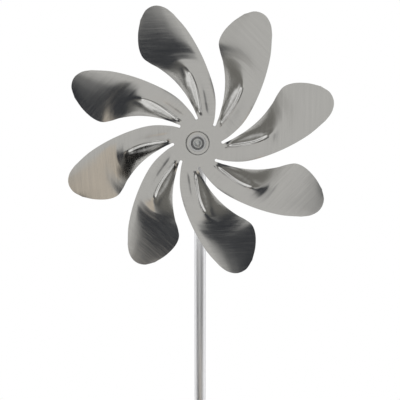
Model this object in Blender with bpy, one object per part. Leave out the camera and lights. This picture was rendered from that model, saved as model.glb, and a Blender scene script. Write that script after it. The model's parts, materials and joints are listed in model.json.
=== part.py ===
"""Garden wind spinner: an eight-blade stamped wheel on two ball bearings, on a two-piece pole.

Frame: metres, +Z up along the pole, origin at the tip of the ground spike. The wheel
faces -Y and spins about an axis along Y. Lengths below are in millimetres and are turned
into metres when a mesh is made.
"""
import math

import bmesh
import bpy
import numpy as np
from mathutils import Matrix, Vector

MM = 0.001

# ---- Driving dimensions (mm) ----
HUB_HEIGHT = 920.0            # spin axis above the spike's tip
BLADES = 8
SHEET = 0.8                   # wheel sheet thickness
HUB_FACE_Y = -29.0            # front face of the wheel's hub
HUB_HOLE_R = 7.9
RECESS_INNER_R = 11.2         # the hub's pressed recess
RECESS_OUTER_R = 12.2
RECESS_DEPTH = 1.0

POLE_R = 6.35
POLE_WALL = 1.0
POLE_TOP = HUB_HEIGHT + 11.0
POLE_JOINT = 500.0            # where the two pole tubes meet
SPIKE_SHOULDER = 60.0         # where the lower tube rests on the spike

BOLT_R = 2.0                  # M4
BEARING_R = 6.5               # 4 x 13 x 5 ball bearing
BEARING_WIDTH = 5.0
BALL_R = 1.15
BALL_CIRCLE_R = 4.25
BALLS = 7

GAP = 0.2                     # clearance between pieces that touch
SEGMENTS = 32                 # sides of a round piece

# ---- Stations along Y (mm), from the front of the wheel to the back of the pole ----
FRONT_BEARING_Y = -27.5       # front face of each bearing
REAR_BEARING_Y = -18.2
SLEEVE_END_Y = -8.1
BUSH_END_Y = -11.6
WASHER_FRONT_Y = -28.3
UNDER_HEAD_Y = -28.5          # where the screw's head rests
BOLT_END_Y = 14.8
SADDLE_THICK = 1.5            # beyond the pole's surface
NUT_Y = 9.4
NUT_HEIGHT = 4.2

# ---- Hub bush, screw and fittings (mm) ----
LIP_PROUD = 0.7               # the bush's lip in front of the recess
LIP_WIDTH = 0.8
FLANGE_R = RECESS_INNER_R - 0.5
FLANGE_THICK = 1.6
BUSH_R = 9.2
LAND_R = 5.7                  # bore of the land between the bearings
RING_GROOVE = 0.5             # depth of the retaining ring's groove
RING_RADIAL = 1.5
HEAD_R = 3.7
HEAD_HEIGHT = 2.4
HEAD_SHOULDER = 1.0           # straight part of the head's side
RECESS_HALF = 0.45            # half the width of a slot in the cross recess
RECESS_REACH = 2.2
RECESS_DEEP = 1.5
WASHER_R = 4.6
REAR_WASHER_R = 4.5
REAR_WASHER_THICK = 0.8
SPACER_R = 3.1
SLEEVE_R = 3.2
SADDLE_R = 5.4
SADDLE_WRAP = 1.6             # how far a saddle reaches round the pole
NUT_FLATS = 7.0
NUT_HEX_HEIGHT = 2.9
COLLAR_R = 3.1
INSERT_SEAT_R = 2.85
INSERT_R = 2.6
INSERT_DEPTH = 1.3

# ---- Pole fittings (mm) ----
SPIGOT_REACH = 60.0           # into each tube
SPIGOT_WALL = 1.2
RIVET_R = 1.6
RIVET_HOLE_R = 1.9
RIVET_ABOVE_JOINT = 30.0
RIVET_HEAD_R = 3.1
BLIND_R = 2.3                 # the rivet's inner head
BLIND_Y = 3.0
CAP_PLUG = 6.5
CAP_DOME = 2.6
SPIKE_TIP_R = 1.5
SPIKE_CONE = 52.0
SPIKE_SHANK = 35.0            # inside the lower tube
PIN_R = 1.5
PIN_HOLE_R = 1.7
PIN_HALF = 6.2
PIN_HEIGHT = SPIKE_SHOULDER + 18.0
BOLT_HOLE_R = BOLT_R + 0.3

# ---- Wheel sheet (mm); one blade lies along +X, z is height towards the viewer ----
NOTCH_CENTRE_R = 25.4         # round root of the gap between two blades
NOTCH_R = 1.45
NOTCH_ANGLE = 3.0             # degrees, beside the blade's trailing edge
LEADING_EDGE = [
    (19.8, -16.0, 0.0), (27.0, -17.4, 0.5), (44.7, -18.0, 2.0), (62.3, -14.2, 3.8),
    (87.2, -4.1, 5.8), (110.2, 9.6, 6.8), (125.5, 23.0, 6.8),
]
TIP_EDGE = [
    (125.5, 23.0, 6.8), (131.6, 31.5, 5.6), (133.7, 41.5, 3.6),
    (130.0, 50.5, 1.2), (121.0, 56.8, -1.4),
]
TRAILING_EDGE = [
    (26.0, 0.0, 0.0), (34.6, 4.1, -3.0), (49.9, 13.5, -5.8), (63.4, 25.3, -7.8),
    (74.4, 39.5, -9.0), (79.6, 49.0, -9.0), (85.0, 56.0, -8.2), (94.0, 59.6, -6.8),
    (108.0, 59.8, -4.2), (121.0, 56.8, -1.4),
]
RIDGE = [
    (22.6, -4.3), (30.8, -3.5), (46.3, -1.2), (56.5, 1.0), (66.8, 5.1),
    (74.0, 9.8), (81.0, 17.8), (86.2, 28.0), (85.6, 38.0), (81.2, 47.5),
]
# Along the ridge, from 0 at the hub to 1: its height above a straight chord, and how soft the fold is
RIDGE_RISE = [
    (0.0, 0.0), (0.1, 1.5), (0.2, 3.0), (0.33, 4.4), (0.46, 4.8),
    (0.58, 3.5), (0.69, 1.3), (0.83, 0.1), (1.0, 0.0),
]
RIDGE_ROUND = [(0.0, 2.0), (0.08, 0.8), (0.45, 0.8), (0.62, 6.0), (1.0, 9.0)]
BEAD_SHARE = 0.53             # the bead ends this far along the ridge
BEAD_STEP = 1.2               # height of the bead's steep front flank
BEAD_FLANK = 1.0
BEAD_END = 3.5
BEAD_BACK = 3.6               # how far behind its crest the bead runs out
LEADING_EASE = 0.2            # share of the width over which the blade starts to fall away
ROOT_EASE = 5.0               # how softly the blade leaves the flat hub
ROWS = 16                     # mesh rows along a blade
SIDE_COLUMNS = 3              # mesh columns on each side of the bead
COLUMNS = 2 * SIDE_COLUMNS + 2


# ---- Materials ----

def material(name, colour, metallic, roughness):
    """Return the named Principled material, made on first use."""
    found = bpy.data.materials.get(name)
    if found:
        return found
    made = bpy.data.materials.new(name)
    made.use_nodes = True
    shader = made.node_tree.nodes["Principled BSDF"]
    shader.inputs["Base Color"].default_value = (*colour, 1.0)
    shader.inputs["Metallic"].default_value = metallic
    shader.inputs["Roughness"].default_value = roughness
    return made


def make_materials():
    """Materials by name."""
    return {
        "brushed_stainless": material("brushed_stainless", (0.62, 0.61, 0.58), 1.0, 0.32),
        "turned_aluminium": material("turned_aluminium", (0.74, 0.75, 0.76), 1.0, 0.35),
        "polished_tube": material("polished_tube", (0.80, 0.81, 0.83), 1.0, 0.16),
        "bearing_steel": material("bearing_steel", (0.55, 0.55, 0.56), 1.0, 0.18),
        "zinc_steel": material("zinc_steel", (0.66, 0.67, 0.66), 1.0, 0.28),
        "black_plastic": material("black_plastic", (0.03, 0.03, 0.032), 0.0, 0.45),
        "nylon": material("nylon", (0.80, 0.79, 0.74), 0.0, 0.5),
    }


# ---- Mesh helpers ----

def add_object(name, bm, surface, smooth_angle=35.0):
    """Turn a bmesh in millimetres into a named object in metres."""
    bmesh.ops.scale(bm, vec=(MM, MM, MM), verts=bm.verts)
    bmesh.ops.recalc_face_normals(bm, faces=bm.faces)
    mesh = bpy.data.meshes.new(name)
    bm.to_mesh(mesh)
    bm.free()
    mesh.materials.append(surface)
    mesh.shade_smooth()
    mesh.set_sharp_from_angle(angle=math.radians(smooth_angle))
    made = bpy.data.objects.new(name, mesh)
    bpy.context.collection.objects.link(made)
    return made


def turned_along_y(profile, segments=SEGMENTS):
    """Turn a closed (radius, y) profile about the Y axis. A radius of 0 lies on the axis."""
    bm = bmesh.new()
    rings = []
    for radius, y in profile:
        if radius == 0.0:
            rings.append([bm.verts.new((0.0, y, 0.0))])
            continue
        ring = []
        for i in range(segments):
            angle = 2.0 * math.pi * i / segments
            ring.append(bm.verts.new((radius * math.cos(angle), y, radius * math.sin(angle))))
        rings.append(ring)
    for a, b in zip(rings, rings[1:] + rings[:1]):
        if len(a) == 1 and len(b) == 1:
            continue
        for i in range(segments):
            j = (i + 1) % segments
            corners = [a[i % len(a)], a[j % len(a)], b[j % len(b)], b[i % len(b)]]
            unique = list(dict.fromkeys(corners))
            bm.faces.new(unique)
    return bm


def place_at_hub(made):
    """Put an object that was modelled about the spin axis at the hub's height."""
    made.location.z = HUB_HEIGHT * MM
    return made


def turn_upright(bm):
    """Stand a piece turned about Y upright: its +Y becomes +Z."""
    bmesh.ops.rotate(bm, verts=bm.verts, matrix=Matrix.Rotation(math.radians(90.0), 3, "X"))
    return bm


def ring_profile(inner, outer, start, end):
    """Rectangular section of a ring, from one y to another."""
    return [(inner, start), (outer, start), (outer, end), (inner, end)]


def cutter(name, bm):
    """A hidden object that a Boolean subtracts."""
    made = add_object(name, bm, material("cutter", (1.0, 0.2, 0.2), 0.0, 0.5))
    made.hide_render = True
    made.display_type = "WIRE"
    return made


def subtract(target, tool):
    """Cut one object with another."""
    modifier = target.modifiers.new("Cut_" + tool.name, "BOOLEAN")
    modifier.operation = "DIFFERENCE"
    modifier.solver = "EXACT"
    modifier.object = tool


# ---- Curves ----

def smooth_curve(points, count):
    """Points evenly spaced along a centripetal Catmull-Rom curve through the given points."""
    knots = np.array(points, dtype=float)
    knots = np.vstack([2 * knots[0] - knots[1], knots, 2 * knots[-1] - knots[-2]])
    dense = []
    for i in range(1, len(knots) - 2):
        p0, p1, p2, p3 = knots[i - 1:i + 3]
        t0 = 0.0
        t1 = t0 + np.linalg.norm(p1 - p0) ** 0.5
        t2 = t1 + np.linalg.norm(p2 - p1) ** 0.5
        t3 = t2 + np.linalg.norm(p3 - p2) ** 0.5
        for t in np.linspace(t1, t2, 24, endpoint=False):
            a1 = (t1 - t) / (t1 - t0) * p0 + (t - t0) / (t1 - t0) * p1
            a2 = (t2 - t) / (t2 - t1) * p1 + (t - t1) / (t2 - t1) * p2
            a3 = (t3 - t) / (t3 - t2) * p2 + (t - t2) / (t3 - t2) * p3
            b1 = (t2 - t) / (t2 - t0) * a1 + (t - t0) / (t2 - t0) * a2
            b2 = (t3 - t) / (t3 - t1) * a2 + (t - t1) / (t3 - t1) * a3
            dense.append((t2 - t) / (t2 - t1) * b1 + (t - t1) / (t2 - t1) * b2)
    dense.append(knots[-2])
    dense = np.array(dense)
    walked = np.concatenate([[0.0], np.cumsum(np.linalg.norm(np.diff(dense, axis=0), axis=1))])
    wanted = np.linspace(0.0, walked[-1], count + 1)
    return np.stack([np.interp(wanted, walked, dense[:, k]) for k in range(dense.shape[1])], axis=1)


def smooth_step(value, low, high):
    """0 below low, 1 above high, and a smooth rise between."""
    share = np.clip((value - low) / (high - low), 0.0, 1.0)
    return share * share * (3.0 - 2.0 * share)


def along_table(table, values):
    """Read a table of (place, value) pairs at the given places, with straight runs between."""
    return np.interp(values, [row[0] for row in table], [row[1] for row in table])


def spread_edge(points, shares):
    """Points of a sampled edge at the given shares of its length."""
    places = np.linspace(0.0, 1.0, len(points))
    return np.stack([np.interp(shares, places, points[:, k]) for k in range(points.shape[1])], axis=-1)


def coons(leading, trailing, root, tip, s, t):
    """Point of the patch between four edges, at shares s along and t across."""
    s, t = s[..., None], t[..., None]
    return ((1 - t) * spread_edge(leading, s[..., 0]) + t * spread_edge(trailing, s[..., 0])
            + (1 - s) * spread_edge(root, t[..., 0]) + s * spread_edge(tip, t[..., 0])
            - (1 - s) * (1 - t) * root[0] - (1 - s) * t * root[-1]
            - s * (1 - t) * tip[0] - s * t * tip[-1])


# ---- Wheel sheet ----

def eased(t):
    """A fall across the blade that starts level at the leading edge."""
    return t - LEADING_EASE * (1.0 - np.exp(-t / LEADING_EASE))


def tent(t, peak, blunt):
    """A roof over 0 to 1 with its top, rounded by blunt, at peak."""
    a, b = t / peak, (1 - t) / (1 - peak)
    blunt = blunt / np.minimum(peak, 1 - peak)
    return np.clip((a + b - np.sqrt((a - b) ** 2 + blunt ** 2)) / 2, 0.0, None)


def ridge_places(edges, s):
    """For each row: where the ridge crosses it, and how far along the ridge that is."""
    ridge = smooth_curve(RIDGE, 200)
    t = np.linspace(0.0, 1.0, 401)
    share, along = [], []
    for value in s:
        row = coons(*edges, value + 0 * t, t)[:, :2]
        distance = np.linalg.norm(ridge[None, :, :] - row[:, None, :], axis=2)
        across, nearest = np.unravel_index(distance.argmin(), distance.shape)
        past_end = along and along[-1] == 1.0
        share.append(share[-1] if past_end else min(0.93, max(0.07, t[across])))
        along.append(1.0 if past_end else nearest / 200)
    return share, along


def row_columns(share, along, width):
    """Places of the mesh columns across one row, crowded round the bead or even past its end."""
    middle = share + (0.5 - share) * float(smooth_step(along, BEAD_SHARE, 0.9))
    foot = max(middle - BEAD_FLANK / width, middle * 0.6)
    back = min(middle + BEAD_BACK / width, 1.0 - (1.0 - middle) * 0.6)
    front = np.linspace(0.0, foot, SIDE_COLUMNS + 1)
    rear = np.linspace(back, 1.0, SIDE_COLUMNS + 1)
    return np.concatenate([front, [middle], rear])


def bead_height(along, length):
    """Height of the bead's crest at a place along the ridge."""
    place = along / BEAD_SHARE
    if place >= 1.0:
        return 0.0
    ends = smooth_step(place * length, 0.0, BEAD_END) * smooth_step((1.0 - place) * length, 0.0, BEAD_END)
    return float(BEAD_STEP * (1.0 - 0.35 * place) * ends)


def blade_surface():
    """Front surface of one blade: a patch between its four edges, folded and beaded along the ridge."""
    leading, trailing = smooth_curve(LEADING_EDGE, 400), smooth_curve(TRAILING_EDGE, 400)
    tip = smooth_curve(TIP_EDGE, 200)
    angles = np.linspace(math.atan2(leading[0][1], leading[0][0]),
                         math.atan2(trailing[0][1], trailing[0][0]), 61)
    radii = np.linspace(np.hypot(*leading[0][:2]), np.hypot(*trailing[0][:2]), 61)
    root = np.stack([radii * np.cos(angles), radii * np.sin(angles), 0 * angles], axis=1)
    edges = (leading, trailing, root, tip)
    s = np.linspace(0.0, 1.0, ROWS + 1)
    share, along = ridge_places(edges, s)
    ridge = smooth_curve(RIDGE, 100)
    length = BEAD_SHARE * np.linalg.norm(np.diff(ridge, axis=0), axis=1).sum()
    patch = []
    for i in range(ROWS + 1):
        ends = coons(*edges, s[i] + np.zeros(2), np.array([0.0, 1.0]))
        width = np.linalg.norm(ends[1, :2] - ends[0, :2])
        t = row_columns(share[i], along[i], width)
        row = coons(*edges, s[i] + 0 * t, t)
        row[:, 2] = coons(*edges, s[i] + 0 * t, eased(t) / eased(1.0))[:, 2]
        blunt = along_table(RIDGE_ROUND, along[i]) / width
        row[:, 2] += along_table(RIDGE_RISE, along[i]) * tent(t, share[i], blunt)
        row[SIDE_COLUMNS + 1, 2] += bead_height(along[i], length)
        patch.append(row)
    patch = np.array(patch)
    from_root = np.linalg.norm(patch[:, :, :2] - patch[0, :, :2][None, :, :], axis=2)
    patch[:, :, 2] *= 1.0 - np.exp(-(from_root / ROOT_EASE) ** 2)
    return patch


def wheel_point(point, turn):
    """From a blade's own x, y and height to the wheel, turned about the spin axis."""
    x, y, height = point
    c, s = math.cos(turn), math.sin(turn)
    return (x * c - y * s, HUB_FACE_Y - height, x * s + y * c)


def hub_depth(radius):
    """Height of the hub's front face: 0, and lower inside the pressed recess."""
    share = (radius - RECESS_INNER_R) / (RECESS_OUTER_R - RECESS_INNER_R)
    return -RECESS_DEPTH * (1.0 - min(1.0, max(0.0, share)))


def notch_arc(start, end, steps):
    """Points of the gap's round root, from one blade's edge round to the next blade's."""
    centre = np.array([math.cos(math.radians(NOTCH_ANGLE)), math.sin(math.radians(NOTCH_ANGLE))])
    centre = centre * NOTCH_CENTRE_R
    first = math.atan2(start[1] - centre[1], start[0] - centre[0])
    last = math.atan2(end[1] - centre[1], end[0] - centre[0])
    if last > first:
        last -= 2.0 * math.pi
    angles = np.linspace(first, last, steps + 1)[1:-1]
    return [(centre[0] + NOTCH_R * math.cos(a), centre[1] + NOTCH_R * math.sin(a), 0.0) for a in angles]


def make_wheel_sheet(surface):
    """The one-piece stamped wheel: a dished hub and eight swept, folded blades."""
    patch = blade_surface()
    step = 2.0 * math.pi / BLADES
    next_start = wheel_point(patch[0][0], step)
    notch = notch_arc(patch[0][-1], (next_start[0], next_start[2]), 4)
    outer = [tuple(p) for p in patch[0]] + notch
    first = math.atan2(outer[0][1], outer[0][0])
    ring_radii = [HUB_HOLE_R, RECESS_INNER_R, RECESS_OUTER_R, 18.0]
    bm = bmesh.new()
    rims = []
    blades = []
    for k in range(BLADES):
        blades.append([[bm.verts.new(wheel_point(p, k * step)) for p in row] for row in patch])
        rims.append(blades[k][0] + [bm.verts.new(wheel_point(p, k * step)) for p in notch])
    loops = [sum(rims, [])]
    for radius in reversed(ring_radii):
        loop = []
        for k in range(BLADES):
            for i in range(len(outer)):
                angle = first + step * i / len(outer)
                point = (radius * math.cos(angle), radius * math.sin(angle), hub_depth(radius))
                loop.append(bm.verts.new(wheel_point(point, k * step)))
        loops.append(loop)
    for a, b in zip(loops, loops[1:]):
        for i in range(len(a)):
            j = (i + 1) % len(a)
            bm.faces.new((a[i], a[j], b[j], b[i]))
    for blade in blades:
        for lower, upper in zip(blade, blade[1:]):
            for i in range(COLUMNS):
                bm.faces.new((lower[i], upper[i], upper[i + 1], lower[i + 1]))
    bmesh.ops.recalc_face_normals(bm, faces=bm.faces)
    front = sum(face.normal.y for face in bm.faces)
    if front > 0.0:
        bmesh.ops.reverse_faces(bm, faces=bm.faces)
    made = add_object("wheel_sheet", bm, surface)
    thickness = made.modifiers.new("Sheet", "SOLIDIFY")
    thickness.thickness = SHEET * MM
    thickness.offset = -1.0
    return place_at_hub(made)


# ---- Hub and bearings ----

def make_hub_bush(surface):
    """Turned bush: its lip and flange grip the sheet, and a land inside seats both bearings."""
    bore = BEARING_R + GAP
    face = HUB_FACE_Y + RECESS_DEPTH
    flange = face + SHEET + GAP
    lip = HUB_HOLE_R + LIP_WIDTH
    groove_end = BUSH_END_Y - 0.6
    seat_end = REAR_BEARING_Y + BEARING_WIDTH + GAP
    front_seat = FRONT_BEARING_Y + BEARING_WIDTH + GAP
    profile = [
        (bore, face - LIP_PROUD), (lip, face - LIP_PROUD), (lip, face - GAP),
        (HUB_HOLE_R - GAP, face - GAP), (HUB_HOLE_R - GAP, flange),
        (FLANGE_R, flange), (FLANGE_R, flange + FLANGE_THICK),
        (BUSH_R, flange + FLANGE_THICK + 0.4), (BUSH_R, BUSH_END_Y - 0.4), (BUSH_R - 0.4, BUSH_END_Y),
        (bore, BUSH_END_Y), (bore, groove_end), (bore + RING_GROOVE, groove_end),
        (bore + RING_GROOVE, seat_end), (bore, seat_end), (bore, REAR_BEARING_Y - GAP),
        (LAND_R, REAR_BEARING_Y - GAP), (LAND_R, front_seat), (bore, front_seat),
    ]
    return place_at_hub(add_object("hub_bush", turned_along_y(profile, 24), surface))


def make_retaining_ring(surface):
    """Split ring that sits in the bush's groove behind the rear bearing."""
    start = REAR_BEARING_Y + BEARING_WIDTH + 2 * GAP
    end = BUSH_END_Y - 0.6 - GAP
    outer = BEARING_R + RING_GROOVE
    inner = outer - RING_RADIAL
    sides = 20
    opening = math.radians(40.0)
    bm = bmesh.new()
    sections = []
    for i in range(sides + 1):
        angle = opening / 2 + (2 * math.pi - opening) * i / sides
        c, s = math.cos(angle), math.sin(angle)
        section = ring_profile(inner, outer, start, end)
        sections.append([bm.verts.new((r * c, y, r * s)) for r, y in section])
    for a, b in zip(sections, sections[1:]):
        for i in range(4):
            j = (i + 1) % 4
            bm.faces.new((a[i], a[j], b[j], b[i]))
    bm.faces.new(sections[0])
    bm.faces.new(sections[-1])
    return place_at_hub(add_object("bearing_retaining_ring", bm, surface))


def make_race_pair(side, front, steel):
    """Inner and outer race of one bearing, with a groove for the balls."""
    back = front + BEARING_WIDTH
    middle = (front + back) / 2
    groove = BALL_R * 0.75
    inner_r, inner_wall = BOLT_R + 0.15, BALL_CIRCLE_R - BALL_R + 0.2
    outer_wall = BALL_CIRCLE_R + BALL_R - 0.2
    dip = BALL_CIRCLE_R - BALL_R - 0.15
    inner = [
        (inner_r, front), (inner_wall, front), (inner_wall, middle - groove), (dip, middle - 0.4),
        (dip, middle + 0.4), (inner_wall, middle + groove), (inner_wall, back), (inner_r, back),
    ]
    rise = BALL_CIRCLE_R + BALL_R + 0.15
    shield = 0.5
    outer = [
        (BEARING_R, front), (BEARING_R, back), (rise, back), (rise, back - shield),
        (outer_wall, back - shield), (outer_wall, middle + groove), (rise, middle + 0.4),
        (rise, middle - 0.4), (outer_wall, middle - groove), (outer_wall, front + shield),
        (rise, front + shield), (rise, front),
    ]
    place_at_hub(add_object(side + "_bearing_inner_race", turned_along_y(inner, 24), steel))
    place_at_hub(add_object(side + "_bearing_outer_race", turned_along_y(outer, 24), steel))


def make_shield(name, start, steel):
    """Thin dust shield held in the outer race."""
    profile = ring_profile(BALL_CIRCLE_R - BALL_R + 0.5, BALL_CIRCLE_R + BALL_R, start, start + 0.25)
    return place_at_hub(add_object(name, turned_along_y(profile, 24), steel))


def make_cage(side, middle, surface):
    """Crown cage: a ring beside the balls, with a finger between each pair."""
    per_ball = 4
    count = BALLS * per_ball
    ring_y = middle + BALL_R + 0.15
    inner, outer = BALL_CIRCLE_R - 0.35, BALL_CIRCLE_R + 0.35
    bm = bmesh.new()
    sections = []
    for i in range(count):
        angle = 2 * math.pi * (i - 0.5) / count
        c, s = math.cos(angle), math.sin(angle)
        section = ring_profile(inner, outer, ring_y, ring_y + 0.45)
        sections.append([bm.verts.new((r * c, y, r * s)) for r, y in section])
    fingers = []
    for i in range(count):
        a, b = sections[i], sections[(i + 1) % count]
        for j in range(4):
            n = (j + 1) % 4
            face = bm.faces.new((a[j], a[n], b[n], b[j]))
            if j == 0 and i % per_ball == per_ball // 2:
                fingers.append(face)
    for face in fingers:
        made = bmesh.ops.extrude_discrete_faces(bm, faces=[face])["faces"]
        bmesh.ops.translate(bm, verts=made[0].verts, vec=(0.0, -1.7, 0.0))
    return place_at_hub(add_object(side + "_bearing_cage", bm, surface))


def make_balls(side, middle, steel):
    """The balls of one bearing, spaced evenly round the ball circle."""
    for i in range(BALLS):
        angle = 2 * math.pi * i / BALLS
        bm = bmesh.new()
        bmesh.ops.create_icosphere(bm, subdivisions=1, radius=BALL_R)
        offset = (BALL_CIRCLE_R * math.cos(angle), middle, BALL_CIRCLE_R * math.sin(angle))
        bmesh.ops.translate(bm, verts=bm.verts, vec=offset)
        place_at_hub(add_object(f"{side}_bearing_ball_{i + 1}", bm, steel))


def make_bearing(side, front, surfaces):
    """One shielded ball bearing."""
    steel = surfaces["bearing_steel"]
    middle = front + BEARING_WIDTH / 2
    make_race_pair(side, front, steel)
    make_cage(side, middle, surfaces["nylon"])
    make_balls(side, middle, steel)
    make_shield(side + "_bearing_front_shield", front + 0.15, steel)
    make_shield(side + "_bearing_rear_shield", front + BEARING_WIDTH - 0.4, steel)


# ---- Axle ----

def make_axle_bolt(surface):
    """Pan-head machine screw, the fixed axle of the wheel."""
    top = UNDER_HEAD_Y - HEAD_HEIGHT
    dome = HEAD_HEIGHT - HEAD_SHOULDER
    profile = [(0.0, top)]
    for i in range(1, 5):
        angle = math.radians(90.0 * i / 4)
        profile.append((HEAD_R * math.sin(angle), top + dome * (1.0 - math.cos(angle))))
    profile += [
        (HEAD_R, UNDER_HEAD_Y), (BOLT_R, UNDER_HEAD_Y), (BOLT_R, BOLT_END_Y - 0.6),
        (BOLT_R - 0.4, BOLT_END_Y), (0.0, BOLT_END_Y),
    ]
    made = place_at_hub(add_object("axle_bolt", turned_along_y(profile, 24), surface))
    subtract(made, place_at_hub(cutter("cross_recess_cutter", cross_bars(top))))
    return made


def cross_bars(top):
    """A plus-shaped prism whose front end stands clear of the screw head."""
    outline = []
    for quarter in range(4):
        turn = Matrix.Rotation(math.radians(90.0 * quarter), 3, "Y")
        for x, z in ((RECESS_REACH, -RECESS_HALF), (RECESS_REACH, RECESS_HALF), (RECESS_HALF, RECESS_HALF)):
            outline.append(turn @ Vector((x, top + RECESS_DEEP, -z)))
    bm = bmesh.new()
    face = bm.faces.new([bm.verts.new(p) for p in outline])
    made = bmesh.ops.extrude_face_region(bm, geom=[face])["geom"]
    verts = [v for v in made if isinstance(v, bmesh.types.BMVert)]
    bmesh.ops.translate(bm, verts=verts, vec=(0.0, -2.0 * RECESS_DEEP, 0.0))
    return bm


def make_axle_rings(surfaces):
    """Washers, spacer and sleeve threaded on the bolt."""
    bore = BOLT_R + GAP
    zinc, alu = surfaces["zinc_steel"], surfaces["turned_aluminium"]
    rear = POLE_R + SADDLE_THICK + GAP
    spacer_start = FRONT_BEARING_Y + BEARING_WIDTH + GAP
    sleeve_start = REAR_BEARING_Y + BEARING_WIDTH + GAP
    pieces = [
        ("front_washer", ring_profile(bore, WASHER_R, WASHER_FRONT_Y, FRONT_BEARING_Y - GAP), zinc),
        ("bearing_spacer", ring_profile(bore, SPACER_R, spacer_start, REAR_BEARING_Y - GAP), alu),
        ("standoff_sleeve", ring_profile(bore, SLEEVE_R, sleeve_start, SLEEVE_END_Y), alu),
        ("rear_washer", ring_profile(bore, REAR_WASHER_R, rear, rear + REAR_WASHER_THICK), zinc),
    ]
    for name, profile, surface in pieces:
        place_at_hub(add_object(name, turned_along_y(profile, 24), surface))


def make_saddle(name, side, surface):
    """Saddle washer: flat on one side and hollowed to the pole on the other."""
    flat = side * (POLE_R + SADDLE_THICK)
    near = side * (POLE_R - SADDLE_WRAP)
    profile = ring_profile(BOLT_R + GAP, SADDLE_R, min(flat, near), max(flat, near))
    made = place_at_hub(add_object(name, turned_along_y(profile, 24), surface))
    cut_r = POLE_R + GAP
    hollow = turn_upright(turned_along_y([(0.0, -10.0), (cut_r, -10.0), (cut_r, 10.0), (0.0, 10.0)]))
    tool = place_at_hub(cutter(name + "_cutter", hollow))
    subtract(made, tool)
    return made


def make_hexagonal(bm, across_flats, radius):
    """Pull the vertices that lie at the given radius in to a hexagon's outline."""
    for vert in bm.verts:
        if abs(math.hypot(vert.co.x, vert.co.z) - radius) > 0.01:
            continue
        angle = math.atan2(vert.co.z, vert.co.x)
        from_flat = (angle + math.radians(30.0)) % math.radians(60.0) - math.radians(30.0)
        share = across_flats / 2 / math.cos(from_flat) / radius
        vert.co.x *= share
        vert.co.z *= share


def make_lock_nut(surfaces):
    """Hexagon lock nut with a round collar, and the nylon ring inside the collar."""
    bore = BOLT_R + GAP
    corner_r = NUT_FLATS / 2 / math.cos(math.radians(30.0))
    end = NUT_Y + NUT_HEIGHT
    seat = end - INSERT_DEPTH
    profile = [
        (bore, NUT_Y), (corner_r, NUT_Y), (corner_r, NUT_Y + NUT_HEX_HEIGHT),
        (COLLAR_R + 0.2, NUT_Y + NUT_HEX_HEIGHT + 0.2), (COLLAR_R, end), (INSERT_SEAT_R, end),
        (INSERT_SEAT_R, seat), (bore, seat),
    ]
    nut = turned_along_y(profile, 24)
    make_hexagonal(nut, NUT_FLATS, corner_r)
    place_at_hub(add_object("lock_nut", nut, surfaces["zinc_steel"]))
    ring = ring_profile(bore, INSERT_R, seat + GAP, end - GAP)
    place_at_hub(add_object("lock_nut_insert", turned_along_y(ring, 24), surfaces["nylon"]))


# ---- Pole ----

def upright_tube(name, inner, outer, low, high, surface, segments=SEGMENTS):
    """A tube standing on the pole's axis."""
    bm = turn_upright(turned_along_y(ring_profile(inner, outer, low, high), segments))
    return add_object(name, bm, surface)


def cross_hole(name, radius, height, depth_from, depth_to):
    """A round cutter along Y at a height on the pole."""
    profile = [(0.0, depth_from), (radius, depth_from), (radius, depth_to), (0.0, depth_to)]
    tool = cutter(name, turned_along_y(profile, 16))
    tool.location.z = height * MM
    return tool


def make_pole(surfaces):
    """Upper and lower tube, drilled for the bolt, the rivet and the spike's pin."""
    inner = POLE_R - POLE_WALL
    tube = surfaces["polished_tube"]
    upper = upright_tube("upper_pole", inner, POLE_R, POLE_JOINT + GAP, POLE_TOP, tube)
    subtract(upper, cross_hole("bolt_hole_cutter", BOLT_HOLE_R, HUB_HEIGHT, -9.0, 9.0))
    subtract(upper, cross_hole("rivet_hole_cutter", RIVET_HOLE_R, POLE_JOINT + RIVET_ABOVE_JOINT, 0.0, 9.0))
    lower = upright_tube("lower_pole", inner, POLE_R, SPIKE_SHOULDER + GAP, POLE_JOINT - GAP, tube)
    subtract(lower, cross_hole("pin_hole_cutter", PIN_HOLE_R, PIN_HEIGHT, -9.0, 9.0))


def make_connector(surfaces):
    """Spigot that joins the tubes, held in the upper one by a blind rivet."""
    outer = POLE_R - POLE_WALL - GAP
    height = POLE_JOINT + RIVET_ABOVE_JOINT
    spigot = upright_tube("pole_connector", outer - SPIGOT_WALL, outer, POLE_JOINT - SPIGOT_REACH,
                          POLE_JOINT + SPIGOT_REACH, surfaces["turned_aluminium"])
    subtract(spigot, cross_hole("connector_hole_cutter", RIVET_HOLE_R, height, 0.0, 9.0))
    seat = POLE_R + GAP
    profile = [
        (0.0, BLIND_Y - 1.2), (BLIND_R - 0.3, BLIND_Y - 1.0), (BLIND_R, BLIND_Y), (RIVET_R, BLIND_Y),
        (RIVET_R, seat), (RIVET_HEAD_R, seat), (RIVET_HEAD_R - 0.5, seat + 0.7), (0.0, seat + 0.9),
    ]
    rivet = add_object("connector_rivet", turned_along_y(profile, 16), surfaces["turned_aluminium"])
    rivet.location.z = height * MM


def make_pole_cap(surface):
    """Push-in plastic cap with a domed top."""
    bore = POLE_R - POLE_WALL - GAP
    rim = POLE_TOP + GAP
    bottom, top = rim - CAP_PLUG, rim + CAP_DOME
    profile = [(0.0, bottom), (bore - 0.5, bottom), (bore, bottom + 0.5), (bore, rim), (POLE_R, rim)]
    for i in range(1, 4):
        angle = math.radians(90.0 * i / 4)
        profile.append((POLE_R * math.cos(angle), rim + 0.6 + (CAP_DOME - 0.6) * math.sin(angle)))
    profile.append((0.0, top))
    return add_object("pole_cap", turn_upright(turned_along_y(profile, 24)), surface)


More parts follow.
